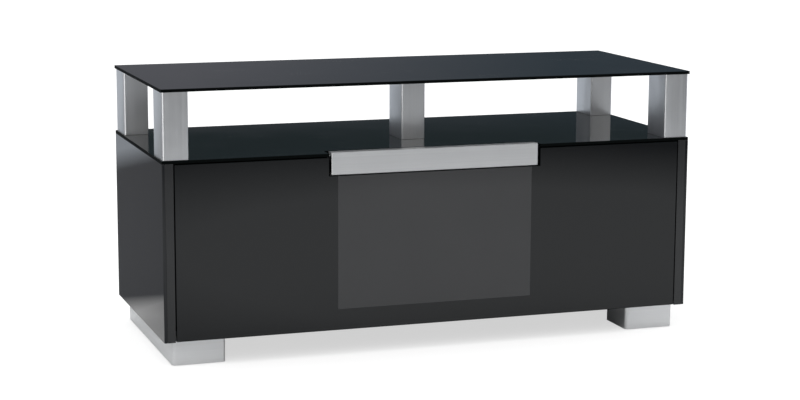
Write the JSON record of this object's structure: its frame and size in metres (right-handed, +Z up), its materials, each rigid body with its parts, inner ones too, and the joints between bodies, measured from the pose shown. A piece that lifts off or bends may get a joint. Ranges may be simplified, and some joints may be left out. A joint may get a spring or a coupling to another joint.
{
  "type": "media cabinet",
  "caption": "Low media cabinet in black glass with a bottom-hinged drop flap, brushed aluminium posts carrying a raised glass shelf, and folded aluminium feet.",
  "frame": {"origin": "on the floor under the middle of the cabinet", "axes": "+X to the right of a person facing the front, +Y from the front to the back, +Z up; the flap is on the -Y side"},
  "size_m": [1.1, 0.45, 0.538],
  "materials": {
    "black_glass": "polished float glass painted black on its back",
    "smoked_glass": "smoked grey, polished",
    "black_board": "fibreboard with satin black laminate",
    "brushed_aluminium": "brushed and anodised",
    "steel": "zinc plated",
    "black_plastic": "moulded, fine texture"
  },
  "bodies": {
    "carcass": {"top_glass": "black_glass", "deck_glass": "black_glass", "top_board": "black_board", "bottom_board": "black_board", "side_board_left": "black_board", "side_glass_left": "black_glass", "side_board_right": "black_board", "side_glass_right": "black_glass", "divider_left": "black_board", "shelf_pin_front_left": "steel", "shelf_pin_rear_left": "steel", "divider_right": "black_board", "shelf_pin_front_right": "steel", "shelf_pin_rear_right": "steel", "centre_shelf": "black_board", "back_panel_left": "black_board", "back_panel_right": "black_board", "back_panel_centre": "black_board", "post_front_left": "brushed_aluminium", "post_plug_front_left": "steel", "post_bolt_front_left": "steel", "post_front_right": "brushed_aluminium", "post_plug_front_right": "steel", "post_bolt_front_right": "steel", "post_rear_left": "brushed_aluminium", "post_plug_rear_left": "steel", "post_bolt_rear_left": "steel", "post_rear_right": "brushed_aluminium", "post_plug_rear_right": "steel", "post_bolt_rear_right": "steel", "post_centre": "brushed_aluminium", "post_plug_centre": "steel", "post_bolt_centre": "steel", "foot_fascia_left": "brushed_aluminium", "foot_block_front_left": "black_board", "foot_block_rear_left": "black_board", "foot_fascia_right": "brushed_aluminium", "foot_block_front_right": "black_board", "foot_block_rear_right": "black_board", "hinge_bush_left": "black_plastic", "catch_magnet_left": "black_plastic", "hinge_bush_right": "black_plastic", "catch_magnet_right": "black_plastic"},
    "flap": {"flap_glass": "black_glass", "flap_panel_left": "black_board", "flap_panel_right": "black_board", "flap_rail": "black_board", "window_pane": "smoked_glass", "handle": "brushed_aluminium", "hinge_pin_left": "steel", "catch_plate_left": "steel", "stay_bracket_left": "steel", "hinge_pin_right": "steel", "catch_plate_right": "steel", "stay_bracket_right": "steel"},
    "housing_left": {"stay_housing_left": "steel"},
    "rod_left": {"stay_rod_left": "steel"},
    "housing_right": {"stay_housing_right": "steel"},
    "rod_right": {"stay_rod_right": "steel"}
  },
  "joints": [
    {"name": "flap_hinge", "type": "hinge", "parent": "carcass", "child": "flap", "pos_m": [0, -0.216, 0.057], "axis": [1, 0, 0], "range_deg": [0, 90]},
    {"name": "stay_swivel_left", "type": "hinge", "parent": "carcass", "child": "housing_left", "pos_m": [-0.515, -0.1003, 0.19489], "axis": [1, 0, 0], "range_deg": [0, 45]},
    {"name": "stay_eye_left", "type": "hinge", "parent": "flap", "child": "rod_left", "pos_m": [-0.515, -0.189, 0.23496], "axis": [1, 0, 0], "range_deg": [-45, 0]},
    {"name": "stay_swivel_right", "type": "hinge", "parent": "carcass", "child": "housing_right", "pos_m": [0.515, -0.1003, 0.19489], "axis": [1, 0, 0], "range_deg": [0, 45]},
    {"name": "stay_eye_right", "type": "hinge", "parent": "flap", "child": "rod_right", "pos_m": [0.515, -0.189, 0.23496], "axis": [1, 0, 0], "range_deg": [-45, 0]}
  ],
  "couplings": [
    {"joint": "stay_swivel_left", "follows": "flap_hinge", "ratio": 0.5},
    {"joint": "stay_eye_left", "follows": "flap_hinge", "ratio": -0.5},
    {"joint": "stay_swivel_right", "follows": "flap_hinge", "ratio": 0.5},
    {"joint": "stay_eye_right", "follows": "flap_hinge", "ratio": -0.5}
  ]
}
